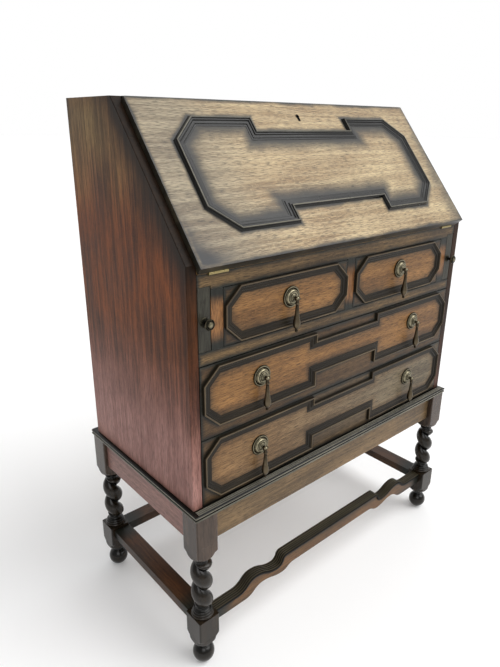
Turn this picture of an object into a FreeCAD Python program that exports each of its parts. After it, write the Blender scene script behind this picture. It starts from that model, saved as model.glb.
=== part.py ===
import FreeCAD, Part

import math
import os
import re

import Sketcher

# A Jacobean-style oak bureau: a slant-front carcass with two short and two long
# drawers, standing on a separate frame of barley-twist legs and stretchers.
# Millimetres. X runs to the right, Y to the back, Z up from the floor.
# Depths called "back" are measured from the carcass front plane, which lies at front_y.

SIZES = {
    # whole object
    "front_y": -174.5,
    "carcass_width": 762,
    "carcass_depth": 355,
    "total_height": 1026,
    "side_thick": 19,
    "board_thick": 18,
    "back_thick": 8,
    "pigeonhole_front": 206,
    # slope of the fall front
    "slope_start": 789,
    "slope_run": 193,
    "hinge_z": 773,
    "hinge_gap": 1,
    "fall_thick": 20,
    "fall_half": 365,
    "fall_length": 309.5,
    # front frame
    "rail_depth": 20,
    "hinge_rail_drop": 26.5,
    "loper_rail_drop": 20,
    "rail_top": 645.5,
    "rail_low": 623,
    "stile_outer": 336,
    "stile_inner": 312,
    "centre_half": 11,
    "loper_inner": 337.2,
    "loper_outer": 361,
    "loper_long": 330,
    "loper_knob_z": 696,
    # lock, in the fall's own frame: places along the hinge, up the slope and out
    "lock_half": 32,
    "lock_low": 268,
    "lock_deep": 12,
    "bolt_half": 14,
    "bolt_low": 282,
    "strike_half": 21,
    # drawers
    "front_thick": 18,
    "lining": 9,
    "short_top": 745.5,
    "middle_top": 621.5,
    "middle_low": 488.5,
    "lower_top": 487,
    "lower_low": 359,
    "drawer_long": 318,
    # stand
    "stand_top": 357.5,
    "moulding_high": 12.5,
    "moulding_front": 17,
    "moulding_side": 7.5,
    "moulding_wide": 46,
    "block": 45,
    "leg_x": 363,
    "leg_front": 7.5,
    "leg_back": 348,
    "frieze_low": 281.5,
    "frieze_thick": 20,
    "stretcher_low": 90,
    "stretcher_high": 109.5,
    # brass
    "plate_round": 19.5,
    "knuckle": 3,
    "pin_round": 1.2,
    "leaf_thick": 1.5,
    "hinge_wide": 38,
    "hinge_x": 322,
}

doc = FreeCAD.newDocument("Bureau")
sheet = doc.addObject("Spreadsheet::Sheet", "Sizes")
for row, (alias, number) in enumerate(SIZES.items(), start=1):
    sheet.set(f"A{row}", alias)
    sheet.set(f"B{row}", str(number))
    sheet.setAlias(f"B{row}", alias)
doc.recompute()

nodes = []


def bound(text):
    """Put the sheet's name before each alias in an expression."""
    return re.sub(r"[a-z_]+", lambda word: "Sizes." + word[0] if word[0] in SIZES else word[0], text)


def mm(text):
    """The value of an expression in the sheet's sizes."""
    return float(sheet.evalExpression(bound(text)))


def node(name, item):
    """Name a finished sub-part and list it for export."""
    item.Label = name
    nodes.append(item)
    return item


def board(x, y, z):
    """A board between low and high expressions; y counts back from the front plane."""
    box = doc.addObject("Part::Box", "Board")
    sides = (("Length", "x", x), ("Width", "y", y), ("Height", "z", z))
    for size, axis, (low, high) in sides:
        start = f"front_y + ({low})" if axis == "y" else low
        box.setExpression(size, bound(f"({high}) - ({low})"))
        box.setExpression(f"Placement.Base.{axis}", bound(start))
    return box


def cut(base, *tools):
    """Take tools away from base, one Part::Cut after another."""
    for tool in tools:
        result = doc.addObject("Part::Cut", "Cut")
        result.Base = base
        result.Tool = tool
        base = result
    return base


def group(*items):
    """Separate solids kept side by side in one node."""
    result = doc.addObject("Part::Compound", "Group")
    result.Links = list(items)
    return result


def solid(shape, placement=None):
    """A Part::Feature for a shape worked out in code; the placement follows the shape."""
    result = doc.addObject("Part::Feature", "Shape")
    result.Shape = shape
    if placement is not None:
        result.Placement = placement
    return result


def rod(radius, x_low, x_high, y, z):
    """A Part::Cylinder lying along X; y counts back from the front plane."""
    result = doc.addObject("Part::Cylinder", "Rod")
    result.setExpression("Radius", bound(radius))
    result.setExpression("Height", bound(f"({x_high}) - ({x_low})"))
    base = FreeCAD.Vector(mm(x_low), mm(f"front_y + ({y})"), mm(z))
    result.Placement = FreeCAD.Placement(base, FreeCAD.Rotation(FreeCAD.Vector(0, 1, 0), 90))
    return result


def plane_of(body, role):
    """The origin plane of a body with this role."""
    return [item for item in body.Origin.OriginFeatures if item.Role == role][0]


def panel(points, x_low, x_high):
    """A PartDesign body: an outline in the YZ plane padded from x_low to x_high."""
    body = doc.addObject("PartDesign::Body", "Panel")
    sketch = body.newObject("Sketcher::SketchObject", "Outline")
    sketch.AttachmentSupport = (plane_of(body, "YZ_Plane"), [""])
    sketch.MapMode = "FlatFace"
    corners = [FreeCAD.Vector(mm(f"front_y + ({y})"), mm(z), 0) for y, z in points]
    count = len(corners)
    for index in range(count):
        sketch.addGeometry(Part.LineSegment(corners[index], corners[(index + 1) % count]))
    for index in range(count):
        sketch.addConstraint(Sketcher.Constraint("Coincident", index, 2, (index + 1) % count, 1))
    for index, (y, z) in enumerate(points):
        across = sketch.addConstraint(
            Sketcher.Constraint("DistanceX", -1, 1, index, 1, corners[index].x))
        sketch.setExpression(f"Constraints[{across}]", bound(f"front_y + ({y})"))
        up = sketch.addConstraint(Sketcher.Constraint("DistanceY", -1, 1, index, 1, corners[index].y))
        sketch.setExpression(f"Constraints[{up}]", bound(z))
    pad = body.newObject("PartDesign::Pad", "Thickness")
    pad.Profile = sketch
    pad.setExpression("Length", bound(f"({x_high}) - ({x_low})"))
    body.Tip = pad
    body.setExpression("Placement.Base.x", bound(x_low))
    return body


def wire(start, *steps):
    """A closed wire in the XZ plane: a step is a corner, or an arc's (via, end) pair."""
    edges = []
    here = FreeCAD.Vector(start[0], 0, start[1])
    first = here
    for step in steps:
        if isinstance(step[0], tuple):
            via = FreeCAD.Vector(step[0][0], 0, step[0][1])
            there = FreeCAD.Vector(step[1][0], 0, step[1][1])
            arc = Part.Arc(here, via, there).toShape()
            # Turned about the axis, an arc centred near it would make a torus that crosses itself.
            clear = abs(arc.Curve.Center.x) > arc.Curve.Radius
            edges.append(arc if clear else Part.Arc(here, via, there).toBSpline().toShape())
        else:
            there = FreeCAD.Vector(step[0], 0, step[1])
            edges.append(Part.LineSegment(here, there).toShape())
        here = there
    if here.distanceToPoint(first) > 1e-6:
        edges.append(Part.LineSegment(here, first).toShape())
    return Part.Wire(edges)


def turned(start, *steps):
    """A solid of revolution about the Z axis from an outline that starts and ends on it."""
    face = Part.Face(wire(start, *steps))
    return face.revolve(FreeCAD.Vector(0, 0, 0), FreeCAD.Vector(0, 0, 1), 360)


# ---------------------------------------------------------------- slope geometry
slope = math.atan2(mm("total_height - slope_start"), mm("slope_run"))
axis_y = mm("front_y - hinge_gap")
axis_z = mm("hinge_z")
# The fall's own frame: X along the hinge, Y up the slope, Z outwards from the hinge pin.
fall_place = FreeCAD.Placement(
    FreeCAD.Vector(0, axis_y, axis_z),
    FreeCAD.Rotation(FreeCAD.Vector(1, 0, 0), math.degrees(slope)))
# Height of the side panels' sloping edge above the hinge pin, square to the slope.
edge_rise = (mm("slope_start - hinge_z") * math.cos(slope) - mm("hinge_gap") * math.sin(slope))


def fall_box(x_low, x_high, up_low, up_high, out_low, out_high):
    """A box in the fall's own frame, from sheet expressions, placed on the slope."""
    box = doc.addObject("Part::Box", "FallBoard")
    for size, low, high in (("Length", x_low, x_high), ("Width", up_low, up_high),
                            ("Height", out_low, out_high)):
        box.setExpression(size, bound(f"({high}) - ({low})"))
    corner = FreeCAD.Vector(mm(x_low), mm(up_low), mm(out_low))
    box.Placement = fall_place.multiply(FreeCAD.Placement(corner, FreeCAD.Rotation()))
    return box


def fall_rod(radius, x_low, x_high):
    """A cylinder about the hinge pin."""
    return rod(radius, x_low, x_high, "-hinge_gap", "hinge_z")


# ---------------------------------------------------------------- mouldings
def offset_corners(corners, distance, closed):
    """Corners moved sideways by a distance to the left of the way round, with mitred joints."""
    moved = []
    count = len(corners)
    for index, corner in enumerate(corners):
        sides = []
        if closed or index > 0:
            sides.append((corners[index - 1], corner))
        if closed or index < count - 1:
            sides.append((corner, corners[(index + 1) % count]))
        lefts = []
        for start, end in sides:
            run = (end[0] - start[0], end[1] - start[1])
            length = math.hypot(*run)
            lefts.append((-run[1] / length, run[0] / length))
        first, last = lefts[0], lefts[-1]
        share = 1 + first[0] * last[0] + first[1] * last[1]
        moved.append((corner[0] + distance * (first[0] + last[0]) / share,
                      corner[1] + distance * (first[1] + last[1]) / share))
    return moved


def mitred_moulding(corners, section, closed=True):
    """A moulding carried round corners in the XY plane; section is (inward, height) points."""
    rings = []
    for inward, height in section:
        ring = offset_corners(corners, inward, closed)
        rings.append([FreeCAD.Vector(x, y, height) for x, y in ring])
    count = len(corners)
    faces = []
    for index, ring in enumerate(rings):
        following = rings[(index + 1) % len(rings)]
        for step in range(count if closed else count - 1):
            beyond = (step + 1) % count
            quad = [ring[step], ring[beyond], following[beyond], following[step], ring[step]]
            faces.append(Part.Face(Part.makePolygon(quad)))
    if not closed:
        for end in (0, count - 1):
            cap = [ring[end] for ring in rings]
            faces.append(Part.Face(Part.makePolygon(cap + [cap[0]])))
    result = Part.makeSolid(Part.makeShell(faces))
    return result if result.Volume > 0 else result.reversed()


def octagon(half, low, high, corner_x, corner_z, tab_half=0, tab_low=0, tab_high=0):
    """An outline with cut corners; tabs step inwards at the middle of the low and high sides."""
    right = [(half - corner_x, low), (half, low + corner_z),
             (half, high - corner_z), (half - corner_x, high)]
    left = [(-x, z) for x, z in reversed(right)]
    if not tab_half:
        return right + left
    tab_top = [(tab_half, high), (tab_half, high - tab_high),
               (-tab_half, high - tab_high), (-tab_half, high)]
    tab_bottom = [(-tab_half, low), (-tab_half, low + tab_low),
                  (tab_half, low + tab_low), (tab_half, low)]
    return right + tab_top + left + tab_bottom


# Sections of the applied mouldings: steep outer side, bead, then steps down inwards.
DRAWER_SECTION = [(0, 0), (0, 4.5), (1.2, 6), (3, 6), (4.5, 4.6), (6.5, 4.2),
                  (8.5, 2.8), (11, 2.4), (13, 1.2), (15.5, 1), (15.5, 0)]
FALL_SECTION = [(0, 0), (3.5, 5), (5, 6.5), (7, 6.5), (9, 5), (11.5, 4.6),
                (13, 3), (15.5, 2.6), (17, 1.2), (19.5, 1), (19.5, 0)]


# ---------------------------------------------------------------- carcass
def carcass():
    """Sides, top, back and the fixed boards inside."""
    for name, low, high in (("side_left", "-carcass_width / 2", "-carcass_width / 2 + side_thick"),
                            ("side_right", "carcass_width / 2 - side_thick", "carcass_width / 2")):
        outline = [("0", "stand_top"), ("carcass_depth", "stand_top"),
                   ("carcass_depth", "total_height"), ("slope_run", "total_height"),
                   ("0", "slope_start")]
        node(name, panel(outline, low, high))
    inner = "(carcass_width / 2 - side_thick)"
    across = (f"-{inner}", inner)
    back_face = "carcass_depth - back_thick"
    # The top board's front edge is square to the slope, just above the fall.
    reach = mm("fall_length") + 1
    tilt = (math.cos(slope), math.sin(slope))
    edge_low_y = reach * tilt[0] - mm("hinge_gap")
    edge_low_z = axis_z + reach * tilt[1]
    front_low = edge_low_y - math.tan(slope) * (mm("total_height - board_thick") - edge_low_z)
    front_high = edge_low_y - math.tan(slope) * (mm("total_height") - edge_low_z)
    outline = [(f"{front_low}", "total_height - board_thick"),
               (back_face, "total_height - board_thick"),
               (back_face, "total_height"), (f"{front_high}", "total_height")]
    top = panel(outline, across[0], across[1])
    mortise = fall_box("-bolt_half - 1", "bolt_half + 1", f"{reach} - 1", f"{reach} + 9", "3.2", "10.8")
    strike_recess = fall_box("-strike_half", "strike_half", f"{reach} - 1", f"{reach} + 1.2",
                             "2", "lock_deep")
    node("top_board", cut(top, mortise, strike_recess))
    strike = fall_box("-strike_half", "strike_half", f"{reach}", f"{reach} + 1.2", "2", "lock_deep")
    strike_slot = fall_box("-bolt_half - 1", "bolt_half + 1", f"{reach} - 1", f"{reach} + 2", "3.2", "10.8")
    node("lock_strike", cut(strike, strike_slot))
    node("back_panel", board(across, (back_face, "carcass_depth"), ("stand_top", "total_height")))
    node("writing_bed", board(across, ("rail_depth", back_face), ("hinge_z - board_thick", "hinge_z")))
    node("dust_board", board(across, ("rail_depth", back_face), ("rail_top - 10", "rail_top")))
    node("bottom_board", board(across, ("rail_depth", back_face), ("stand_top", "stand_top + 8")))


def front_frame():
    """The hinge rail, the rail under the short drawers, the stiles and the guides behind."""
    inner = "(carcass_width / 2 - side_thick)"
    rail = board((f"-{inner}", inner), ("0", "rail_depth"), ("hinge_z - hinge_rail_drop", "hinge_z"))
    notches = [board((low, high), ("-1", "rail_depth + 1"),
                     ("hinge_z - hinge_rail_drop - 1", "hinge_z - loper_rail_drop"))
               for low, high in ((f"-{inner} - 1", "-stile_outer"), ("stile_outer", f"{inner} + 1"))]
    recesses = []
    for middle in ("-hinge_x", "hinge_x"):
        ends = (f"{middle} - hinge_wide / 2", f"{middle} + hinge_wide / 2")
        recesses.append(board(ends, ("-hinge_gap", "16"), ("hinge_z - leaf_thick", "hinge_z + 1")))
        recesses.append(fall_rod("knuckle + 0.4", *ends))
    node("hinge_rail", cut(rail, *notches, *recesses))
    node("drawer_rail", board((f"-{inner}", inner), ("0", "rail_depth"), ("rail_low", "rail_top")))
    heights = ("rail_top", "hinge_z - hinge_rail_drop")
    stiles = [board(ends, ("0", "rail_depth"), heights)
              for ends in (("-stile_outer", "-stile_inner"), ("-centre_half", "centre_half"),
                           ("stile_inner", "stile_outer"))]
    node("front_stiles", group(*stiles))
    deep = ("rail_depth", "carcass_depth - back_thick")
    partitions = [board((low, high), deep, ("rail_top", "hinge_z - board_thick"))
                  for low, high in (("-stile_outer", "-stile_outer + 12"),
                                    ("stile_outer - 12", "stile_outer"))]
    strips = [board((low, high), deep, ("rail_top", "rail_top + 22"))
              for low, high in (("-stile_outer + 12", "-stile_inner"),
                                ("-centre_half", "centre_half"),
                                ("stile_inner", "stile_outer - 12"))]
    runners = [board(ends, deep, ("middle_low - 12", "middle_low"))
               for ends in ((f"-{inner}", f"-{inner} + 20"), (f"{inner} - 20", inner))]
    node("drawer_runners", group(*partitions, *strips, *runners))


def pigeonholes():
    """A shelf with uprights below and above it, standing at the back of the writing bed."""
    inner = "(carcass_width / 2 - side_thick)"
    deep = ("pigeonhole_front", "carcass_depth - back_thick")
    shelf_low, shelf_high = "hinge_z + 92", "hinge_z + 100"
    boards = [board((f"-{inner}", inner), deep, (shelf_low, shelf_high))]
    for middle in (-120, 120):
        boards.append(board((f"{middle} - 4", f"{middle} + 4"), deep, ("hinge_z", shelf_low)))
    for middle in (-216, -72, 72, 216):
        boards.append(board((f"{middle} - 4", f"{middle} + 4"), deep,
                            (shelf_high, "total_height - board_thick")))
    node("pigeonhole_fitment", group(*boards))


# ---------------------------------------------------------------- fall front
KEYHOLE_UP = 277


def fall_front():
    """The slanting writing fall with its moulding, lock and escutcheon."""
    inner = "(carcass_width / 2 - side_thick - 0.8)"
    core = fall_box(f"-{inner}", inner, "0.5", "fall_length", "0", f"{edge_rise} + 0.3")
    lip = fall_box("-fall_half", "fall_half", "0.5", "fall_length", f"{edge_rise} + 0.3", "fall_thick")
    both = doc.addObject("Part::MultiFuse", "FallBoth")
    both.Shapes = [core, lip]
    both.Refine = True
    tools = [fall_box("-lock_half", "lock_half", "lock_low", "fall_length + 1", "-1", "lock_deep")]
    for middle in ("-hinge_x", "hinge_x"):
        ends = (f"{middle} - hinge_wide / 2", f"{middle} + hinge_wide / 2")
        tools.append(fall_box(ends[0], ends[1], "-1", "17", "-1", "leaf_thick"))
        tools.append(fall_rod("knuckle + 0.4", *ends))
    tools.append(solid(keyhole(4.6, 3.4, 12, -10, 30), fall_place))
    node("fall_panel", cut(both, *tools))
    ridge = octagon(311, 50.5, 272.5, 50, 47, 126, 30, 30)
    shape = mitred_moulding(ridge, FALL_SECTION)
    lift = fall_place.multiply(FreeCAD.Placement(FreeCAD.Vector(0, 0, mm("fall_thick")),
                                                 FreeCAD.Rotation()))
    node("fall_moulding", solid(shape, lift))
    insert = keyhole(4.6, 3.4, 14, 0, 6.4).cut(keyhole(2.5, 1.2, 13, -1, 9))
    node("keyhole_escutcheon", solid(insert, fall_place))
    case = fall_box("-lock_half", "lock_half", "lock_low", "fall_length", "0", "lock_deep")
    channel = fall_box("-bolt_half - 0.3", "bolt_half + 0.3", "bolt_low - 0.3", "fall_length + 1",
                       "3.7", "10.3")
    keyway = solid(keyhole(2.5, 1.2, 10.2, 0, 3), fall_place)
    node("fall_lock_case", cut(case, channel, keyway))
    node("lock_bolt", fall_box("-bolt_half", "bolt_half", "bolt_low", "fall_length - 0.3", "4", "10"))


def keyhole(round_radius, foot_radius, out_low, extra_low, out_length):
    """A keyhole-shaped prism in the fall's frame: a round top over a narrower foot."""
    low = out_low + extra_low
    top = Part.makeCylinder(round_radius, out_length, FreeCAD.Vector(0, KEYHOLE_UP, low))
    foot = Part.makeCylinder(foot_radius, out_length, FreeCAD.Vector(0, KEYHOLE_UP - 8, low))
    web = Part.makeBox(2 * foot_radius, 8, out_length,
                       FreeCAD.Vector(-foot_radius, KEYHOLE_UP - 8, low))
    return top.fuse([foot, web]).removeSplitter()


def hinges():
    """Two butt hinges: leaves let into the rail and the fall, on pins at the joint line."""
    rail_parts = []
    fall_parts = []
    for side in (-1, 1):
        middle = side * mm("hinge_x")
        half = mm("hinge_wide") / 2
        third, leaf_wide, web_wide = 9.5, 16.5, 4
        length = 2 * half
        centre = FreeCAD.Vector(0, axis_y, axis_z)
        bore = Part.makeCylinder(mm("pin_round") + 0.06, length + 2,
                                 FreeCAD.Vector(middle - half - 1, axis_y, axis_z),
                                 FreeCAD.Vector(1, 0, 0))
        clear = Part.makeCylinder(mm("knuckle") + 0.35, length + 2,
                                  FreeCAD.Vector(middle - half - 1, axis_y, axis_z),
                                  FreeCAD.Vector(1, 0, 0))
        thick = mm("leaf_thick")
        for own, spans in ((rail_parts, ((-half, -half + third), (half - third, half))),
                           (fall_parts, ((-half + third + 0.3, half - third - 0.3),))):
            rail = own is rail_parts
            leaf = Part.makeBox(length, leaf_wide, thick, FreeCAD.Vector(middle - half, 0, 0))
            web_low = -thick if rail else 0
            leaf.translate(FreeCAD.Vector(0, 0, web_low))
            webs = []
            for low, high in spans:
                web = Part.makeBox(high - low, web_wide, thick,
                                   FreeCAD.Vector(middle + low, 0, web_low))
                webs.append(web)
            place = FreeCAD.Placement(centre, FreeCAD.Rotation()) if rail else fall_place
            leaf.Placement = place
            leaf = leaf.cut(clear)
            pieces = []
            for (low, high), web in zip(spans, webs):
                web.Placement = place
                pieces.append(web)
                pieces.append(Part.makeCylinder(mm("knuckle"), high - low,
                                                FreeCAD.Vector(middle + low, axis_y, axis_z),
                                                FreeCAD.Vector(1, 0, 0)))
            own.append(leaf.fuse(pieces).cut(bore).removeSplitter())
        rail_parts.append(Part.makeCylinder(mm("pin_round"), length,
                                            FreeCAD.Vector(middle - half, axis_y, axis_z),
                                            FreeCAD.Vector(1, 0, 0)))
    node("rail_hinge_leaves", solid(Part.makeCompound(rail_parts)))
    node("fall_hinge_leaves", solid(Part.makeCompound(fall_parts)))


# ---------------------------------------------------------------- lopers
def lopers():
    """The pull-out supports for the open fall, each with a small brass knob."""
    for name, side in (("left", -1), ("right", 1)):
        ends = ("-loper_outer", "-loper_inner") if side < 0 else ("loper_inner", "loper_outer")
        node(f"loper_{name}", board(ends, ("0.3", "loper_long"),
                                    ("rail_top + 0.5", "hinge_z - loper_rail_drop - 0.5")))
        knob = turned((0, 0), (8.5, 0), (8.5, 1.2), (6.5, 2.4), (3.4, 3.4), (3, 9),
                      (5, 11.5), ((9.6, 14), (8.6, 16.8)), (6.6, 17.2), ((3.4, 18.8), (0, 19)))
        turn = FreeCAD.Rotation(FreeCAD.Vector(1, 0, 0), 90)
        base = FreeCAD.Vector(side * mm("(loper_inner + loper_outer) / 2"), mm("front_y + 0.3"),
                              mm("loper_knob_z"))
        node(f"loper_knob_{name}", solid(knob, FreeCAD.Placement(base, turn)))


# ---------------------------------------------------------------- drawers
# The drop's pivot: its radius, its clearance, and how far it stands out from the drawer front.
PIVOT = 1.25
PIVOT_CLEAR = 0.07
PIVOT_OUT = 16


def back_plate(x, z):
    """A round dished plate with a post that carries the drop's pivot."""
    rim = mm("plate_round")
    plate = turned((0, 0), (rim, 0), ((rim + 0.4, 1.2), (rim - 1, 3)), (rim - 3.5, 2.4),
                   ((rim - 5, 4.5), (rim - 8, 7)), (8, 7.4), ((5, 8.6), (3.4, 10.6)),
                   (3.1, PIVOT_OUT + 2.2), ((2.2, PIVOT_OUT + 3.4), (0, PIVOT_OUT + 3.6)))
    pivot = Part.makeCylinder(PIVOT + PIVOT_CLEAR, 12, FreeCAD.Vector(-6, 0, PIVOT_OUT),
                              FreeCAD.Vector(1, 0, 0))
    turn = FreeCAD.Rotation(FreeCAD.Vector(1, 0, 0), 90)
    shape = plate.cut(pivot)
    shape.Placement = FreeCAD.Placement(FreeCAD.Vector(x, mm("front_y"), z), turn)
    return shape


def drop(x, z):
    """A pear drop hanging from a pin through the post: yoke, slender neck, belly and tip."""
    pin = Part.makeCylinder(PIVOT, 10, FreeCAD.Vector(-5, 0, 0), FreeCAD.Vector(1, 0, 0))
    cheeks = [Part.makeBox(1.6, 5, 10, FreeCAD.Vector(low, -2.5, -7.5)) for low in (-5.2, 3.6)]
    bridge = turned((0, -5), (5.2, -5), (5.2, -7.5), ((3, -9.5), (2.2, -13)), ((2.1, -24), (3.6, -35)),
                    ((6.9, -46), (4.6, -54)), ((2.2, -57), (1.7, -58.5)), ((2.4, -60.5), (0, -62.5)))
    ends = [Part.makeCylinder(2.5, 1.6, FreeCAD.Vector(low, 0, 0), FreeCAD.Vector(1, 0, 0))
            for low in (-5.2, 3.6)]
    shape = bridge.fuse([pin] + cheeks + ends).removeSplitter()
    return solid(shape, FreeCAD.Placement(
        FreeCAD.Vector(x, mm("front_y") - PIVOT_OUT, z), FreeCAD.Rotation()))


def drawer(name, x_low, x_high, low, high, side_low, side_high, outline, handles):
    """One drawer: front, moulding, box of four boards, back plates and drops."""
    depth = ("front_thick", "drawer_long - lining")
    node(f"{name}_front", board((x_low, x_high), ("0", "front_thick"), (low, high)))
    middle = mm(f"(({x_low}) + ({x_high})) / 2")
    upright = FreeCAD.Placement(FreeCAD.Vector(middle, mm("front_y"), 0),
                                FreeCAD.Rotation(FreeCAD.Vector(1, 0, 0), 90))
    node(f"{name}_moulding", solid(mitred_moulding(outline, DRAWER_SECTION), upright))
    heights = (side_low, side_high)
    sides = [board(ends, depth, heights)
             for ends in ((f"{x_low} + 0.5", f"{x_low} + 0.5 + lining"),
                          (f"{x_high} - 0.5 - lining", f"{x_high} - 0.5"))]
    inside = (f"{x_low} + 0.5 + lining", f"{x_high} - 0.5 - lining")
    back = board((f"{x_low} + 0.5", f"{x_high} - 0.5"), ("drawer_long - lining", "drawer_long"),
                 (side_low, f"{side_high} - 6"))
    floor = board(inside, depth, (f"{side_low} + 5", f"{side_low} + 11"))
    node(f"{name}_box", group(*sides, back, floor))
    node(f"{name}_plates", solid(Part.makeCompound([back_plate(x, z) for _, x, z in handles])))
    for handle, x, z in handles:
        node(f"{handle}", drop(x, z))


def drawers():
    """Two short drawers over two long ones."""
    inner = "(carcass_width / 2 - side_thick - 1)"
    for word, side in (("left", -1), ("right", 1)):
        ends = ("-stile_inner + 0.8", "-centre_half - 0.8")
        if side > 0:
            ends = ("centre_half + 0.8", "stile_inner - 0.8")
        outline = octagon(148.6, 649, 745, 31, 29)
        drawer(f"short_drawer_{word}", ends[0], ends[1], "rail_top + 0.8", "short_top",
               "rail_top + 0.5", "short_top - 12", outline, [(f"short_drop_{word}", side * 161, 702)])
    outline = octagon(356.5, 508, 618, 31, 29, 91, 28, 16)
    drawer("middle_drawer", f"-{inner}", inner, "middle_low + 0.3", "middle_top",
           "middle_low + 0.4", "middle_top - 12", outline,
           [("middle_drop_left", -228, 570), ("middle_drop_right", 228, 570)])
    outline = octagon(356.5, 368, 484, 31, 29, 91, 29, 15)
    drawer("lower_drawer", f"-{inner}", inner, "lower_low", "lower_top",
           "stand_top + 8.4", "middle_low - 14", outline,
           [("lower_drop_left", -230, 431), ("lower_drop_right", 230, 431)])


# ---------------------------------------------------------------- stand
def stand_top():
    """The moulded frame that carries the carcass, and the plain friezes below it."""
    half = mm("carcass_width / 2 + moulding_side")
    front = mm("front_y - moulding_front")
    back = mm("front_y + leg_back + block / 2 + 1.5")
    high = mm("moulding_high")
    wide = mm("moulding_wide")
    section = [(4, 0), (1.6, 1.2), (0.4, 3.4), (1.2, 5.2), (2.6, 6), (1.4, 6.8), (0.2, 8.6),
               (1, 10.8), (3, high), (wide, high), (wide, 0)]
    corners = [(-half, back), (-half, front), (half, front), (half, back)]
    frame = mitred_moulding(corners, section, closed=False)
    base = FreeCAD.Placement(FreeCAD.Vector(0, 0, mm("stand_top - moulding_high")), FreeCAD.Rotation())
    node("stand_moulding", solid(frame, base))
    block_in = "(leg_x - block / 2)"
    heights = ("frieze_low", "stand_top - moulding_high")
    node("frieze_front", board((f"-{block_in}", block_in), ("-3", "frieze_thick - 3"), heights))
    # The moulding stops at the back legs, so the back frieze rises to close the gap between its ends.
    node("frieze_back", board((f"-{block_in}", block_in), ("leg_back - 4", "leg_back + 16"),
                              ("frieze_low", "stand_top")))
    between = ("leg_front + block / 2", "leg_back - block / 2")
    node("frieze_left", board(("-leg_x - 15.5", "-leg_x + 4.5"), between, heights))
    node("frieze_right", board(("leg_x - 4.5", "leg_x + 15.5"), between, heights))


def twist(low, high):
    """A left-hand barley twist: a round section whose centre travels round the leg's axis."""
    section, throw, pitch, steps = 13, 7.5, 44, 26
    rings = []
    for step in range(steps + 1):
        height = low + (high - low) * step / steps
        turn = -2 * math.pi * (height - low) / pitch
        centre = FreeCAD.Vector(throw * math.cos(turn), throw * math.sin(turn), height)
        rings.append(Part.Wire(Part.Circle(centre, FreeCAD.Vector(0, 0, 1), section).toShape()))
    return Part.makeLoft(rings, True, False)


def leg(name, x, y):
    """A leg: ball foot, lower block, reeded collar, twist and upper block."""
    half = mm("block") / 2
    corner = 1.5 * half
    foot = turned((0, 0), (4.8, 0), ((21, 21), (12, 38)), ((9, 41), (9, 46)), (9, 54), (0, 54))
    low_blank = turned((0, 50), (16, 50), ((17.5, 53), (21, 55)), ((25, 59), (26, 66)), (28, 66.5),
                       ((31, 71), (corner, 78)), (corner, 116), (0, 116))
    up_blank = turned((0, 244), (11, 244), ((14, 251), (21, 257)), ((25, 259), (26.5, 263)),
                      (28, 263.5), ((31, 268), (corner, 276)), (corner, 346), (0, 346))
    top = mm("stand_top - moulding_high")
    low_block = low_blank.common(Part.makeBox(2 * half, 2 * half, 66, FreeCAD.Vector(-half, -half, 49)))
    up_block = up_blank.common(Part.makeBox(2 * half, 2 * half, top - 240,
                                            FreeCAD.Vector(-half, -half, 240)))
    collar = turned((0, 114), (19, 114), (19, 116), ((21.4, 118.6), (19, 121.2)),
                    ((19.6, 123.4), (17, 125.6)), ((17.6, 127.6), (15.2, 129.6)), (13.2, 131),
                    ((12.4, 134), (13.4, 137)), ((15.4, 140), (15, 144)), (0, 144))
    neck = turned((0, 238), (15, 238), ((16.4, 240), (15.4, 242)), ((13, 243.6), (12, 247)), (0, 247))
    # The twist meets its collars on flat faces and is kept as a solid of its own between them.
    shape = Part.makeCompound([foot.fuse([low_block, collar]), twist(144, 238), neck.fuse(up_block)])
    base = FreeCAD.Vector(x, mm("front_y") + y, 0)
    node(name, solid(shape, FreeCAD.Placement(base, FreeCAD.Rotation())))


def wavy_line(levels, half, drop=0):
    """Edges of a wavy line across the stretcher, level at each (x, z) of its right half.

    Each rise or fall is an ogee of two equal arcs. A drop moves the line down, square to itself.
    """
    right = []
    for (x_start, z_start), (x_end, z_end) in zip(levels, levels[1:]):
        run, rise = x_end - x_start, z_end - z_start
        radius = (run * run + rise * rise) / (4 * abs(rise))
        way = 1 if rise > 0 else -1
        angle = 2 * math.atan(abs(rise) / run)
        for x, z, up, lean in ((x_start, z_start, way, 1), (x_end, z_end, -way, -1)):
            reach = radius + up * drop
            arc = [FreeCAD.Vector(x + lean * reach * math.sin(turn), 0,
                                  z + up * radius - up * reach * math.cos(turn))
                   for turn in (0, angle / 2, angle)]
            right.append(arc if lean > 0 else arc[::-1])
    flat_start, flat_end = right[0][0], right[-1][2]
    left = [[FreeCAD.Vector(-point.x, 0, point.z) for point in reversed(arc)] for arc in reversed(right)]
    edges = [Part.LineSegment(FreeCAD.Vector(-half, 0, flat_end.z), left[0][0]).toShape()]
    edges += [Part.Arc(*arc).toShape() for arc in left]
    edges.append(Part.LineSegment(left[-1][2], flat_start).toShape())
    edges += [Part.Arc(*arc).toShape() for arc in right]
    edges.append(Part.LineSegment(flat_end, FreeCAD.Vector(half, 0, flat_end.z)).toShape())
    return edges


def band(low, high, half, thick):
    """A board on edge between two wavy lines, padded through its thickness."""
    ends = []
    for side in (-1, 1):
        heights = [edges[0].Vertexes[0].Z for edges in (low, high)]
        ends.append(Part.LineSegment(FreeCAD.Vector(side * half, 0, heights[0]),
                                     FreeCAD.Vector(side * half, 0, heights[1])).toShape())
    outline = Part.Wire(Part.__sortEdges__(low + high + ends))
    return Part.Face(outline).extrude(FreeCAD.Vector(0, thick, 0))


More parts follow.
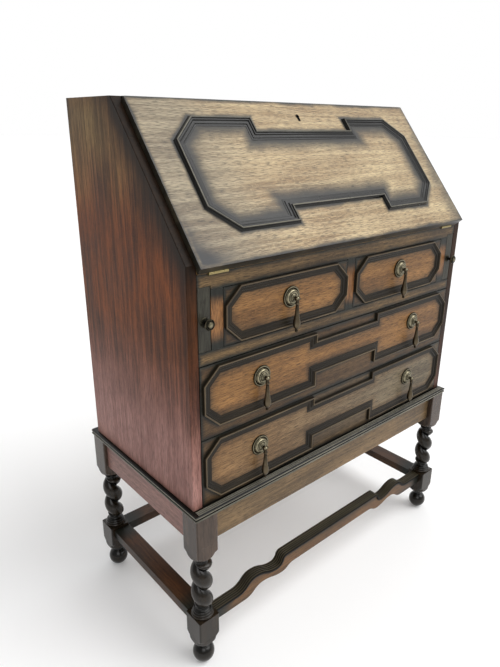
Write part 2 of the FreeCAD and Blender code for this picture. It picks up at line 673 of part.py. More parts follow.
def stretchers():
    """Plain side and back rails, and the shaped front rail with its reeded capping."""
    heights = ("stretcher_low", "stretcher_high")
    between = ("leg_front + block / 2", "leg_back - block / 2")
    node("stretcher_left", board(("-leg_x - 15", "-leg_x + block / 2"), between, heights))
    node("stretcher_right", board(("leg_x - block / 2", "leg_x + 15"), between, heights))
    block_in = "(leg_x - block / 2)"
    node("stretcher_back", board((f"-{block_in}", block_in), ("leg_back - 20", "leg_back + 14"), heights))
    half = mm(block_in)
    cap = 6.5
    top = [(152, 137.5), (177, 117.5), (237, 132.5), (284, 112.5)]
    bottom = [(129, 104.5), (162, 94), (217, 103.5), (264, 86)]
    seat = wavy_line(top, half, cap)
    face = band(wavy_line(bottom, half), seat, half, 20)
    capping = band(wavy_line(top, half, cap), wavy_line(top, half), half, 24)
    for name, shape, forward in (("stretcher_front", face, 1), ("stretcher_capping", capping, 3.5)):
        base = FreeCAD.Vector(0, mm("front_y") - forward, 0)
        node(name, solid(shape, FreeCAD.Placement(base, FreeCAD.Rotation())))


carcass()
front_frame()
pigeonholes()
fall_front()
hinges()
lopers()
drawers()
stand_top()
for leg_name, leg_side, leg_row in (("leg_front_left", -1, "leg_front"), ("leg_front_right", 1, "leg_front"),
                                    ("leg_back_left", -1, "leg_back"), ("leg_back_right", 1, "leg_back")):
    leg(leg_name, leg_side * mm("leg_x"), mm(leg_row))
stretchers()

doc.recompute()
for item in doc.Objects:
    if "Invalid" in item.State or "Error" in item.State:
        raise SystemExit(f"{item.Label} did not recompute: {item.State}")
for item in nodes:
    if item.Shape.isNull() or not item.Shape.isValid():
        raise SystemExit(f"{item.Label} has no valid shape")
os.makedirs("parts", exist_ok=True)
for item in nodes:
    item.Shape.exportStep(f"parts/{item.Label}.step")
whole = Part.makeCompound([item.Shape for item in nodes]).BoundBox
print(len(nodes), "nodes", whole)
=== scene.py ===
# %% [markdown]
# # A secretary desk in stained oak
# The desk is a slant-front bureau: a carcass with a fall, two fall supports and four drawers, on a
# stand with barley-twist legs. Its boards, joints and sizes come packed as a fixed frame. What the
# frame lacks is the look: turned and moulded surfaces, eased edges, stain, grain and brass.

# %% Load the frame
import math

import bpy
import numpy as np
from mathutils import Matrix, Vector


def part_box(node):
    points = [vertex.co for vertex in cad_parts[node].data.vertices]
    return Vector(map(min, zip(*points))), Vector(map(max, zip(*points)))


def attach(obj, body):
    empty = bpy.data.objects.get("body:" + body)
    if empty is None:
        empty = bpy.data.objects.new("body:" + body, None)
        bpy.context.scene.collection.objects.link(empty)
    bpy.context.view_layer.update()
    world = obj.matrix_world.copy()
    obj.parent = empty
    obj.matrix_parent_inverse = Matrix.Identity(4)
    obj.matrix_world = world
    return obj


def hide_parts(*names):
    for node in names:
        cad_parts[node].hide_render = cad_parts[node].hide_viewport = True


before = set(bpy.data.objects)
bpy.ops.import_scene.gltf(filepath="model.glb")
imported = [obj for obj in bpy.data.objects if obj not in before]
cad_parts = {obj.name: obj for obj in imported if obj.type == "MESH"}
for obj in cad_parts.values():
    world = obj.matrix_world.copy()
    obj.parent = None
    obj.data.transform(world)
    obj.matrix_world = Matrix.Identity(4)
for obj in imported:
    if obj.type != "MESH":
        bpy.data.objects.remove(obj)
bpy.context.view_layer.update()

MM = 0.001

# %% [markdown]
# ## Surfaces from grids
# Every new piece is a skin: a grid of points worked out as whole arrays, joined into quads. Rows run
# along the piece and columns run round it. A turned leg, a length of moulding and a brass drop differ
# only in the formula for their points, so one function can make the faces of all of them. Each skin
# also carries two things that its finish needs: how far along the grain a point lies, and its relief,
# which is 0 in the hollows, where stain and dirt stay, and 1 on the crests, where hands rub.
# On the mouldings, the capping and the stand's edge the pale crests it gives are also painted highlights.

# %% Skins and pieces
def skin(points, relief, along=None, closed=False):
    """Quads over points[row, column]: columns close into a ring, and rows too if closed is true.

    Otherwise the first and last rows are capped. Along has one length per row, and one more at
    the end of a closed loop. The quads are turned round if the volume they hold is negative.
    """
    rows, columns = points.shape[:2]
    row = np.arange(rows if closed else rows - 1)[:, None]
    column = np.arange(columns)[None, :]
    below, beside = (row + 1) % rows, (column + 1) % columns
    quads = np.stack([row * columns + column, row * columns + beside,
                      below * columns + beside, below * columns + column], axis=-1).reshape(-1, 4)
    flat = points.reshape(-1, 3)
    corners = flat[quads] - flat.mean(axis=0)
    volume = np.einsum("ij,ij->i", corners[:, 0], np.cross(corners[:, 1], corners[:, 2])
                       + np.cross(corners[:, 2], corners[:, 3])).sum()
    step = np.linalg.norm(np.diff(points, axis=1, append=points[:, :1]), axis=2).mean(axis=0)
    around = np.concatenate([[0], np.cumsum(step)])
    along = np.linspace(0, 1, rows + 1) if along is None else np.asarray(along)
    along_low, along_high = along[row + 0 * column], along[row + 1 + 0 * column]
    around_low, around_high = around[column + 0 * row], around[column + 1 + 0 * row]
    run = np.stack([np.stack([along_low, around_low], -1), np.stack([along_low, around_high], -1),
                    np.stack([along_high, around_high], -1), np.stack([along_high, around_low], -1)],
                   axis=2).reshape(-1, 4, 2)
    caps = [] if closed else [np.arange(columns)[::-1], np.arange(columns) + (rows - 1) * columns]
    if volume < 0:
        quads, run, caps = quads[:, ::-1], run[:, ::-1], [cap[::-1] for cap in caps]
    return flat, quads, caps, run, np.broadcast_to(relief, (rows, columns)).reshape(-1)


def piece(name, body, slot, material, replaced, *skins, crease=35):
    """One mesh object from one or more skins, riding on a body in place of CAD nodes."""
    faces, runs, start = [], [], 0
    for flat, quads, caps, run, relief in skins:
        faces += (quads + start).tolist() + [(cap + start).tolist() for cap in caps]
        runs.append(run.reshape(-1, 2))
        runs += [np.zeros((len(cap), 2)) for cap in caps]
        start += len(flat)
    mesh = bpy.data.meshes.new(name)
    mesh.from_pydata(np.concatenate([one[0] for one in skins]), [], faces)
    run_map = mesh.uv_layers.new(name="Run")
    run_map.data.foreach_set("uv", np.concatenate(runs).astype(np.float32).ravel())
    height = mesh.attributes.new("relief", "FLOAT", "POINT")
    height.data.foreach_set("value", np.concatenate([one[4] for one in skins]).astype(np.float32))
    mesh.shade_smooth()
    mesh.set_sharp_from_angle(angle=math.radians(crease))
    mesh.materials.append(material)
    made = bpy.data.objects.new(name, mesh)
    bpy.context.scene.collection.objects.link(made)
    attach(made, body)
    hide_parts(*replaced)
    print(f"{name}: {len(mesh.polygons)} faces")
    return made


def smooth_line(points, steps=6):
    """A Catmull-Rom curve through the points; a point given twice stays a corner."""
    p = np.array(points, float)
    p = np.vstack([2 * p[0] - p[1], p, 2 * p[-1] - p[-2]])
    t = (np.arange(steps) / steps)[None, :, None]
    a, b, c, d = (p[i:len(p) - 3 + i, None, :] for i in range(4))
    curve = 0.5 * (2 * b + (c - a) * t + (2 * a - 5 * b + 4 * c - d) * t ** 2
                   + (3 * b - a - 3 * c + d) * t ** 3)
    return np.vstack([curve.reshape(-1, p.shape[1]), p[-2]])


def arc(centre, radius, start, end, count=9):
    """Points on a circle from a start angle to an end angle, in degrees."""
    angle = np.radians(np.linspace(start, end, count))
    return [(centre[0] + radius * math.cos(a), centre[1] + radius * math.sin(a)) for a in angle]


# %% [markdown]
# ## Small tools for materials
# Colours are written as hex values, as a paint chart gives them, and turned to linear light by one
# function. One more function adds a node with its settings and links.

# %% Colour and node tools
def linear(hexa):
    """A hex colour in linear light: c/12.92 for dark values, else ((c + 0.055) / 1.055) ^ 2.4."""
    values = [int(hexa[i:i + 2], 16) / 255 for i in (1, 3, 5)]
    return tuple(c / 12.92 if c <= 0.04045 else ((c + 0.055) / 1.055) ** 2.4 for c in values) + (1.0,)


def add(tree, kind, inputs=None, **settings):
    """Add a node with its settings, and set or link its inputs by name or number."""
    node = tree.nodes.new("ShaderNode" + kind)
    for key, value in settings.items():
        setattr(node, key, value)
    for key, value in (inputs or {}).items():
        if isinstance(value, bpy.types.NodeSocket):
            tree.links.new(value, node.inputs[key])
        else:
            node.inputs[key].default_value = value
    return node


def new_tree(name):
    """A material's empty node tree."""
    material = bpy.data.materials.new(name)
    material.use_nodes = True
    material.node_tree.nodes.clear()
    return material, material.node_tree


# %% [markdown]
# ## Stained oak
# Oak is an open-grained wood. Under a satin polish it shows four things: soft bands from the growth
# rings, dark pores drawn out along the grain, short pale ray flecks across it, and slow clouds where
# the stain took unevenly. On this desk the maker also sprayed a dark toner along every edge and
# rubbed the middle of each panel back to a paler colour. The four patterns are stretched noises on
# object coordinates, in millimetres on the panel's own face, and the toner is a mask that grows with
# the distance from the panel's edge; on the drawer fronts, the fall and the rails the same mask also
# paints shadow along the gaps and shade beside the mouldings. Inside the desk nothing was toned.

# %% Oak material
# colours of the plain wood inside the desk
INNER = (("#6B4D2E", "#8A6840"), ("#7A5A36", "#A5824F"))


def oak(name, toned, rubbed, grain="x", centre=(0, 0, 0), turn=(90, 0, 0), tone=None, gloss=0.4,
        figure=1.0, coat=0.05, shine=0.22, tints=(), inside=None):
    """Stained and polished oak. Toned and rubbed are each a (deep, pale) pair of hex colours.

    Centre and turn give the face's own frame: x to the right, y up the face, z out of it. Tone is a
    function that adds the mask of toner and painted shade, 0 where dark and 1 where rubbed; grain is
    x, y or uv. Each tint is (colours, direction, start, end, share): the share of those colours grows
    from the start to the end, in mm along the direction, where there is no toner; on the sides the
    tints are painted reflections. Wood that lies deeper than inside, in mm out of the face, is plain:
    it is the back of a board that is toned on its front only. Gloss is the middle roughness, figure
    the strength of pores and flecks, coat the share of a clear layer and shine the specular level.
    """
    material, tree = new_tree(name)
    if grain == "uv":
        place = add(tree, "UVMap", uv_map="Run").outputs[0]
        face = add(tree, "Mapping", {0: place, "Scale": (1 / MM, 1 / MM, 1)}).outputs[0]
    else:
        place = add(tree, "TexCoord").outputs["Object"]
        face = add(tree, "Mapping", {0: place, "Location": centre, "Scale": (MM, MM, MM),
                                     "Rotation": [math.radians(a) for a in turn]},
                   vector_type="TEXTURE").outputs[0]
    noises = {}
    # growth rings 8 mm apart; pores are 0.3 mm wide in oak and drawn 1 mm wide to show at this size
    for label, long, wide, detail, warp in (("rings", 220, 8, 5, 0.8), ("pores", 16, 1.0, 4, 0.3),
                                            ("rays", 2.6, 9, 1, 0.3), ("clouds", 120, 70, 2, 0)):
        scale = (1 / wide, 1 / long, 1 / wide) if grain == "y" else (1 / long, 1 / wide, 1 / wide)
        stretched = add(tree, "Mapping", {0: face, "Scale": scale}).outputs[0]
        noises[label] = add(tree, "TexNoise", {"Vector": stretched, "Scale": 1.0, "Detail": detail,
                                               "Distortion": warp}).outputs[0]
    pore = add(tree, "MapRange", {0: noises["pores"], 1: 0.47, 2: 0.62}).outputs[0]
    ray = add(tree, "MapRange", {0: noises["rays"], 1: 0.58, 2: 0.72}).outputs[0]
    band = add(tree, "MapRange", {0: noises["rings"], 1: 0.37, 2: 0.63}).outputs[0]
    cloud = add(tree, "MapRange", {0: noises["clouds"], 1: 0.3, 2: 0.7}).outputs[0]
    blend = add(tree, "Mix", {0: 0.45, 2: band, 3: cloud}, data_type="FLOAT").outputs[0]
    wood = [add(tree, "Mix", {0: blend, 6: linear(deep), 7: linear(pale)}, data_type="RGBA").outputs[2]
            for deep, pale in (toned, rubbed)]
    mask = tone(tree, face) if tone else 0.5
    colour = add(tree, "Mix", {0: mask, 6: wood[0], 7: wood[1]}, data_type="RGBA").outputs[2]
    fleck = add(tree, "Math", {0: ray, 1: mask}, operation="MULTIPLY").outputs[0]
    fleck = add(tree, "Math", {0: fleck, 1: 0.3 * figure}, operation="MULTIPLY").outputs[0]
    colour = add(tree, "Mix", {0: fleck, 6: colour, 7: linear(rubbed[1])}, data_type="RGBA").outputs[2]
    for tint, direction, start, end, most in tints:
        spot = add(tree, "VectorMath", {0: face, 1: (*direction, 0)}, operation="DOT_PRODUCT").outputs[1]
        spot = add(tree, "Math", {0: noises["clouds"], 1: 120, 2: spot}, operation="MULTIPLY_ADD").outputs[0]
        part = add(tree, "MapRange", {0: spot, 1: start + 60, 2: end + 60, 4: most},
                   interpolation_type="SMOOTHSTEP").outputs[0]
        part = add(tree, "Math", {0: part, 1: mask}, operation="MULTIPLY").outputs[0]
        stained = add(tree, "Mix", {0: blend, 6: linear(tint[0]), 7: linear(tint[1])},
                      data_type="RGBA").outputs[2]
        colour = add(tree, "Mix", {0: part, 6: colour, 7: stained}, data_type="RGBA").outputs[2]
    if inside is not None:
        plain = add(tree, "Mix", {0: blend, 6: linear(INNER[1][0]), 7: linear(INNER[1][1])},
                    data_type="RGBA").outputs[2]
        out = add(tree, "SeparateXYZ", {0: face}).outputs[2]
        front = add(tree, "MapRange", {0: out, 1: inside, 2: inside + 0.5}).outputs[0]
        colour = add(tree, "Mix", {0: front, 6: plain, 7: colour}, data_type="RGBA").outputs[2]
    dark = add(tree, "Math", {0: pore, 1: 0.7 * figure}, operation="MULTIPLY").outputs[0]
    colour = add(tree, "Mix", {0: dark, 6: colour, 7: linear("#170E07")}, data_type="RGBA").outputs[2]
    dull = add(tree, "MapRange", {0: noises["clouds"], 3: gloss - 0.08, 4: gloss + 0.1}).outputs[0]
    height = add(tree, "Mix", {0: 0.75, 2: noises["rings"], 3: noises["pores"]}, data_type="FLOAT").outputs[0]
    bump = add(tree, "Bump", {"Height": height, "Strength": 0.35 * figure, "Distance": 0.5 * MM},
               invert=True).outputs[0]
    shader = add(tree, "BsdfPrincipled", {"Base Color": colour, "Roughness": dull, "Normal": bump,
                                          "IOR": 1.5, "Specular IOR Level": shine,
                                          "Coat Weight": coat, "Coat Roughness": 0.25})
    add(tree, "OutputMaterial", {0: shader.outputs[0]})
    return material


# %% [markdown]
# The mask of toner and painted shade needs the distance from a point to the nearest edge. For a
# plain board that is the smaller of two differences. Inside an applied moulding it is the distance to
# an octagon, less the tabs that step inwards; the dark band beside the moulding is toner and painted
# shade. A slow noise makes the line between dark and pale as uneven as a spray gun leaves it.

# %% Toner masks
def toner_and_shade_mask(half, fade=(4, 60), cuts=(), outline=None, inner=(10, 55), middle=0, depth=1.0, drift=12):
    """A mask that is 0 at a panel's edges and rises inwards, and again inside a moulding's outline.

    Half is the panel's half width and half height in mm. Each cut (a, b, c) is an edge where
    a x + b y + c = 0. Outline is (half width, half height, corner x, corner y, tab half width,
    top tab, bottom tab), centred middle mm above the panel's centre. Depth scales the outer mask, and
    the line wanders by up to the drift in mm. The dark near the edges is toner, and on the drawer
    fronts and rails also painted shadow along the gaps; the dark inside the outline is toner and
    painted shade beside the moulding.
    """
    def build(tree, face):
        spot = add(tree, "VectorMath", {0: face}, operation="ABSOLUTE").outputs[0]
        noise = add(tree, "TexNoise", {"Vector": face, "Scale": 0.018, "Detail": 2}).outputs[0]
        wander = add(tree, "MapRange", {0: noise, 3: -drift, 4: drift}).outputs[0]
        left = add(tree, "VectorMath", {0: (*half, 0), 1: spot}, operation="SUBTRACT").outputs[0]
        sides = add(tree, "SeparateXYZ", {0: left})
        edge = add(tree, "Math", {0: sides.outputs[0], 1: sides.outputs[1]}, operation="MINIMUM").outputs[0]
        for a, b, c in cuts:
            dot = add(tree, "VectorMath", {0: face, 1: (a, b, 0)}, operation="DOT_PRODUCT").outputs[1]
            beyond = add(tree, "Math", {0: dot, 1: c}, operation="ADD").outputs[0]
            edge = add(tree, "Math", {0: edge, 1: beyond}, operation="MINIMUM").outputs[0]
        inside = None
        if outline:
            wide, high, cut_x, cut_y, tab, top, bottom = outline
            moved = add(tree, "VectorMath", {0: face, 1: (0, middle, 0)}, operation="SUBTRACT").outputs[0]
            spot = add(tree, "VectorMath", {0: moved}, operation="ABSOLUTE").outputs[0]
            left = add(tree, "VectorMath", {0: (wide, high, 0), 1: spot}, operation="SUBTRACT").outputs[0]
            sides = add(tree, "SeparateXYZ", {0: left})
            inside = add(tree, "Math", {0: sides.outputs[0], 1: sides.outputs[1]},
                         operation="MINIMUM").outputs[0]
            share = 1 / math.hypot(1 / cut_x, 1 / cut_y)
            dot = add(tree, "VectorMath", {0: left, 1: (share / cut_x, share / cut_y, 0)},
                      operation="DOT_PRODUCT").outputs[1]
            corner = add(tree, "Math", {0: dot, 1: share}, operation="SUBTRACT").outputs[0]
            inside = add(tree, "Math", {0: inside, 1: corner}, operation="MINIMUM").outputs[0]
            across = add(tree, "SeparateXYZ", {0: spot}).outputs[0]
            past = add(tree, "Math", {0: across, 1: tab}, operation="SUBTRACT").outputs[0]
            up = add(tree, "SeparateXYZ", {0: moved}).outputs[1]
            for sign, step in ((-1, top), (1, bottom)):
                if tab and step:
                    to_tab = add(tree, "Math", {0: up, 1: sign, 2: high - step},
                                 operation="MULTIPLY_ADD").outputs[0]
                    to_tab = add(tree, "Math", {0: past, 1: to_tab}, operation="MAXIMUM").outputs[0]
                    inside = add(tree, "Math", {0: inside, 1: to_tab}, operation="MINIMUM").outputs[0]
            outside = add(tree, "Math", {0: inside, 1: -1}, operation="MULTIPLY").outputs[0]
            edge = add(tree, "Math", {0: edge, 1: outside}, operation="MINIMUM").outputs[0]
        uneven = add(tree, "Math", {0: edge, 1: wander}, operation="ADD").outputs[0]
        mask = add(tree, "MapRange", {0: uneven, 1: fade[0], 2: fade[1], 4: depth},
                   interpolation_type="SMOOTHSTEP").outputs[0]
        if inside:
            uneven = add(tree, "Math", {0: inside, 1: wander}, operation="ADD").outputs[0]
            toner_and_moulding_shade = add(tree, "MapRange", {0: uneven, 1: inner[0], 2: inner[1]},
                              interpolation_type="SMOOTHSTEP").outputs[0]
            mask = add(tree, "Math", {0: mask, 1: toner_and_moulding_shade}, operation="MAXIMUM").outputs[0]
        return mask
    return build


def relief_wear_and_highlight_mask(low, high):
    """A mask from the piece's relief: 0 in its hollows and 1 on its crests."""
    def build(tree, face):
        height = add(tree, "Attribute", attribute_name="relief").outputs["Fac"]
        return add(tree, "MapRange", {0: height, 1: low, 2: high}, interpolation_type="SMOOTHSTEP").outputs[0]
    return build


# %% [markdown]
# ## Boards
# The plain boards keep the frame's own shape. Their edges were knife-sharp there, and a cabinet
# maker takes every edge off with a plane and sandpaper, so each gets a narrow rounding. The frame's
# meshes are loose triangles: a Weld modifier joins them first, and then Bevel can find the edges.

# %% Eased edges and finishes for the boards
def finish_board(node, material, round_mm=0.8):
    """Give a frame node its finish, with a Weld and a Bevel modifier that ease its edges."""
    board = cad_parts[node]
    board.data.materials.clear()
    board.data.materials.append(material)
    weld = board.modifiers.new("joined", "WELD")
    weld.merge_threshold = 0.02 * MM
    bevel = board.modifiers.new("eased", "BEVEL")
    bevel.width = round_mm * MM
    bevel.segments = 2
    bevel.limit_method = "ANGLE"
    bevel.angle_limit = math.radians(40)
    bevel.harden_normals = True
    print(f"{node}: {material.name}, edges eased by {round_mm} mm")


def middle_of(node):
    """The middle of a node's box, and half its size in mm."""
    low, high = (np.array(corner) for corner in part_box(node))
    return tuple((low + high) / 2), (high - low) / 2 / MM


STAIN_DEEP = ("#0B0D0A", "#232620")
SIDE_RUBBED = ("#230F04", "#7F4520")
FRONT_RUBBED = ("#5E4022", "#986E40")
FALL_RUBBED = ("#866B45", "#C9B389")
RAIL_RUBBED = ("#352818", "#7A613F")

# the sides are brown in the middle; the olive at the top and the paler, pinker colour towards the
# stand are painted reflections
SIDE_TONED = ("#120C07", "#2A1D12")
SIDE_PAINTED_REFLECTIONS = ((("#46351F", "#83704A"), (0, 1), 110, 330, 0.85),
              (("#7A544D", "#A27C75"), (0, -1), 30, 270, 0.92))
# the desk's slope starts 789 mm up its front edge and rises to 1026 mm over a run of 193 mm
SLOPE_FOOT, SLOPE_TOP, SLOPE_RUN = 789, 1026, 193
slope = math.atan2(SLOPE_TOP - SLOPE_FOOT, SLOPE_RUN)
# low down the left side is rubbed almost to its front edge, and the right side is not
FRONT_CUTS = {"left": (1, -0.12, 204), "right": (1, 0, 192)}
for side, front_cut in FRONT_CUTS.items():
    centre, half = middle_of(f"side_{side}")
    foot = SLOPE_FOOT - centre[2] / MM
    slope_cut = (math.sin(slope), -math.cos(slope), half[1] * math.sin(slope) + foot * math.cos(slope))
    tone = toner_and_shade_mask((half[1] + 90, half[2] + 40), (0, 75), [slope_cut, front_cut])
    side_oak_and_reflections = oak(f"oak_side_{side}", SIDE_TONED, SIDE_RUBBED, "y", centre, (90, 0, 90), tone,
                   0.42, 0.7, 0, 0.1, SIDE_PAINTED_REFLECTIONS)
    finish_board(f"side_{side}", side_oak_and_reflections, 1.2)
# each board: how its face is turned, the axis of its height, and how deep the toner reaches in mm;
# on the two rails that dark edge is also painted shadow along the drawer gaps
RAIL_BOARDS = {"top_board": ((0, 0, 0), 1, 40), "hinge_rail": ((90, 0, 0), 2, 9),
               "drawer_rail": ((90, 0, 0), 2, 9)}
for node, (turn, axis, deep) in RAIL_BOARDS.items():
    centre, half = middle_of(node)
    tone = toner_and_shade_mask((half[0], half[axis]), (0, deep), drift=4)
    finish_board(node, oak(f"oak_{node}", STAIN_DEEP, RAIL_RUBBED, "x", centre, turn, tone), 1.0)
centre, half = middle_of("front_stiles")
stile = oak("oak_stiles", STAIN_DEEP, ("#5E3A1C", "#976B42"), "y", centre, (90, 0, 0),
            toner_and_shade_mask((400, half[2]), (8, 34), drift=8))
finish_board("front_stiles", stile)
for side in ("left", "right"):
    finish_board(f"loper_{side}",
                 oak(f"oak_loper_{side}", STAIN_DEEP, ("#2C2A22", "#4A463A"), "y"))

# %% [markdown]
# The drawer fronts and the fall are the show surfaces. Each has its toner round the outside, darker
# still at its edges where painted shadow marks the gaps, toner and painted shade beside its moulding,
# and a rubbed middle. Their backs are plain.

# %% Drawer fronts and fall
# outlines: half width, low, high, corner width and height, tab half width, low and high tab depth
OUTLINES = {"short_drawer_left": (148.6, 649, 745, 31, 29, 0, 0, 0),
            "short_drawer_right": (148.6, 649, 745, 31, 29, 0, 0, 0),
            "middle_drawer": (356.5, 508, 618, 31, 29, 91, 28, 16),
            "lower_drawer": (356.5, 368, 484, 31, 29, 91, 29, 15)}
# the lowest front is greyer, most of all at its right end
LOWER_TINTS = ((("#464335", "#7A7663"), (1, 0), -600, 250, 0.75),)


def moulded_toner_and_shade(half, numbers, centre_up, **settings):
    """The mask of a panel whose moulding has the given outline; its centre is at centre_up in mm."""
    wide, low, high, cut_x, cut_z, tab, tab_low, tab_high = numbers
    outline = (wide, (high - low) / 2, cut_x, cut_z, tab, tab_high, tab_low)
    return toner_and_shade_mask(half, (0, 10), outline=outline, middle=(low + high) / 2 - centre_up, **settings)


for drawer, numbers in OUTLINES.items():
    centre, half = middle_of(f"{drawer}_front")
    tone = moulded_toner_and_shade((half[0], half[2]), numbers, centre[2] / MM, inner=(3, 34), depth=0.32, drift=7)
    tints = LOWER_TINTS if drawer == "lower_drawer" else ()
    front_oak = oak(f"oak_{drawer}", STAIN_DEEP, FRONT_RUBBED, "x", centre, (90, 0, 0), tone,
                    tints=tints, inside=1 - half[1])
    finish_board(f"{drawer}_front", front_oak)

# the fall turns about the pins of its hinges, and its mask of toner and painted shade is measured
# from the middle of its face
HINGE = (0, -175.5 * MM, 773 * MM)
FALL_HALF = (365, 154.5)
FALL_MIDDLE = 155
FALL_OUTLINE = (311, 50.5, 272.5, 50, 47, 126, 30, 30)
fall_toner_and_shade = moulded_toner_and_shade(FALL_HALF, FALL_OUTLINE, FALL_MIDDLE, inner=(20, 56), drift=6)
# it is greyer towards its left end, and nearly black at the lower left corner and at the right end
FALL_TINTS = ((("#42413A", "#787468"), (-1, 0), 120, 320, 0.6),
              (("#070A0D", "#151A1F"), (-0.8, -0.6), 300, 345, 1.0),
              (("#1A1B18", "#3A382E"), (1, 0), 325, 372, 0.7))
up = FALL_MIDDLE * MM
fall_centre = (0, HINGE[1] + up * math.cos(slope), HINGE[2] + up * math.sin(slope))
fall_oak = oak("oak_fall", ("#0E100D", "#2B2920"), FALL_RUBBED, "x", fall_centre,
               (math.degrees(slope), 0, 0), fall_toner_and_shade, 0.38, 1.0, 0.05, 0.36, FALL_TINTS, 1.2)
finish_board("fall_panel", fall_oak, 0.8)

# %% [markdown]
# Inside, nothing was toned. The linings, shelves and the back are plain oak, dry and a little dusty.

# %% Inner boards
inner_flat = oak("oak_inner_flat", *INNER, "x", (0, 0, 0), (0, 0, 0), None, 0.6, 0.7, 0.0)
inner_upright = oak("oak_inner_upright", *INNER, "y", (0, 0, 0), (90, 0, 0), None, 0.6, 0.7, 0.0)
for node in ("writing_bed", "dust_board", "bottom_board", "drawer_runners", "pigeonhole_fitment",
             "short_drawer_left_box", "short_drawer_right_box", "middle_drawer_box", "lower_drawer_box"):
    finish_board(node, inner_flat, 0.4)
finish_board("back_panel", inner_upright, 0.4)

# %% [markdown]
# ## Applied mouldings
# The geometric mouldings are strips of one section, mitred at each corner and pinned on. As a
# surface that is a section carried along a path: at every corner of the path, each point of the
# section moves sideways along the mitre line. The finish follows the run of the strip, so its grain
# turns at each mitre as the real strips do.

# %% Carry a section round mitred corners
def mitred(corners, section, place, closed=True, relief=None):
    """Point (i, j) is corner i plus the mitre vector times the section's inward distance j.

    The mitre vector is the sum of the two left-hand normals over one plus their dot product.
    Place turns (across, up, out) into the row frame. Relief is a point's height over the greatest,
    unless it is given.
    """
    path = np.array(corners, float)
    count = len(path)
    way = np.diff(path, axis=0, append=path[:1])
    length = np.linalg.norm(way, axis=1)
    left = np.stack([-way[:, 1], way[:, 0]], axis=1) / length[:, None]
    before, after = np.roll(left, 1, axis=0), left.copy()
    if not closed:
        before[0], after[-1] = left[0], left[-2]
    mitre = (before + after) / (1 + (before * after).sum(axis=1))[:, None]
    section = np.array(section)
    flat = path[:, None, :] + mitre[:, None, :] * section[None, :, :1]
    out = np.broadcast_to(section[None, :, 1:], (count, len(section), 1))
    solid = np.concatenate([flat, out], axis=2) * MM
    points = solid @ np.array(place.to_3x3()).T + np.array(place.translation)
    along = np.concatenate([[0], np.cumsum(length)]) * MM
    relief = section[:, 1] / section[:, 1].max() if relief is None else relief
    return skin(points, relief, along, closed)


def cut_outline(wide, low, high, cut_x, cut_z, tab, tab_low, tab_high):
    """Corners of an octagon with tabs that step inwards at the middle of its low and high sides."""
    right = [(wide - cut_x, low), (wide, low + cut_z), (wide, high - cut_z), (wide - cut_x, high)]
    left = [(-x, z) for x, z in reversed(right)]
    over = [(tab, high), (tab, high - tab_high), (-tab, high - tab_high), (-tab, high)] if tab else []
    under = [(-tab, low), (-tab, low + tab_low), (tab, low + tab_low), (tab, low)] if tab else []
    return right + over + left + under


# A small bead on the outer edge, then a quirk and two shallow hollows stepping down to the panel.
DRAWER_SECTION = ([(0, 0), (0, 4.4)] + arc((1.5, 4.5), 1.5, 180, 0) + [(3.1, 4.1), (5, 4.1)]
                  + arc((7.7, 4.3), 2.4, 188, 262) + [(9.6, 1.9), (10.4, 1.9)]
                  + arc((12.4, 1.9), 1.6, 184, 270, 5) + [(15.5, 0.5), (15.5, 0)])
FALL_SECTION = ([(0, 0), (1.8, 3.2)] + arc((4.4, 4.3), 2.2, 195, 0) + [(6.9, 4.3), (8.8, 4.3)]
                + arc((11.9, 4.6), 2.8, 188, 262) + [(13.8, 1.9), (14.8, 1.9)]
                + arc((16.8, 2), 1.6, 184, 270, 5) + [(19.5, 0.5), (19.5, 0)])
# the strips' outer bead is pale on its crest: partly rubbed wear, partly a painted highlight
moulding_wear_and_highlights = oak("oak_moulding", ("#120F09", "#2A2318"), ("#43372A", "#83735A"), "uv",
                   tone=relief_wear_and_highlight_mask(0.72, 1.14), gloss=0.38, figure=0.4, coat=0.0, shine=0.16)
# the fall's strips and the stand's edge kept more of their black polish; the light lines on their
# crests are painted highlights
black_moulding_painted_highlights = oak("oak_moulding_black_painted_highlights", ("#030403", "#0B0C09"), ("#3E3C33", "#8A8574"), "uv",
                     tone=relief_wear_and_highlight_mask(0.9, 1.04), gloss=0.25, figure=0.3, coat=0.12, shine=0.22)
front_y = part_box("middle_drawer_front")[0][1]
for drawer, numbers in OUTLINES.items():
    middle = middle_of(f"{drawer}_front")[0][0]
    upright = Matrix.Translation((middle, front_y, 0)) @ Matrix.Rotation(math.radians(90), 4, "X")
    piece(f"{drawer}_mitred_strips", drawer, "oak_moulding", moulding_wear_and_highlights, [f"{drawer}_moulding"],
          mitred(cut_outline(*numbers), DRAWER_SECTION, upright))
fall_face = (Matrix.Translation(HINGE) @ Matrix.Rotation(slope, 4, "X")
             @ Matrix.Translation((0, 0, 20 * MM)))
piece("fall_mitred_strips", "fall", "oak_moulding", black_moulding_painted_highlights, ["fall_moulding"],
      mitred(cut_outline(*FALL_OUTLINE), FALL_SECTION, fall_face))

# %% [markdown]
# The stand's top edge is worked with two beads, one above the other, on three sides. It is the same
# kind of surface, on an open path of three runs. Three fine reeds lie on the ledge in front of the
# carcass; they run straight from end to end, so two rows of points are enough.

# %% Beaded edge of the stand
low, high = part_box("stand_moulding")
EDGE_SECTION = ([(4.2, 0)] + arc((3.1, 3.0), 2.9, 285, 75) + [(3.4, 6.2)]
                + arc((3.1, 9.2), 2.9, 275, 95) + [(4, 12.5), (46, 12.5), (46, 0)])
section = np.array([(max(inward, 0.1), min(height, 12.5)) for inward, height in EDGE_SECTION])
half_wide, back, front = high[0] / MM, high[1] / MM, low[1] / MM
corners = [(-half_wide, back), (-half_wide, front), (half_wide, front), (half_wide, back)]
# the foremost points of the beads get the highest relief, so the black finish paints highlight lines on them
edge = mitred(corners, section, Matrix.Translation((0, 0, low[2])), closed=False,
              relief=np.where(section[:, 0] < 0.8, 1, 0.88))
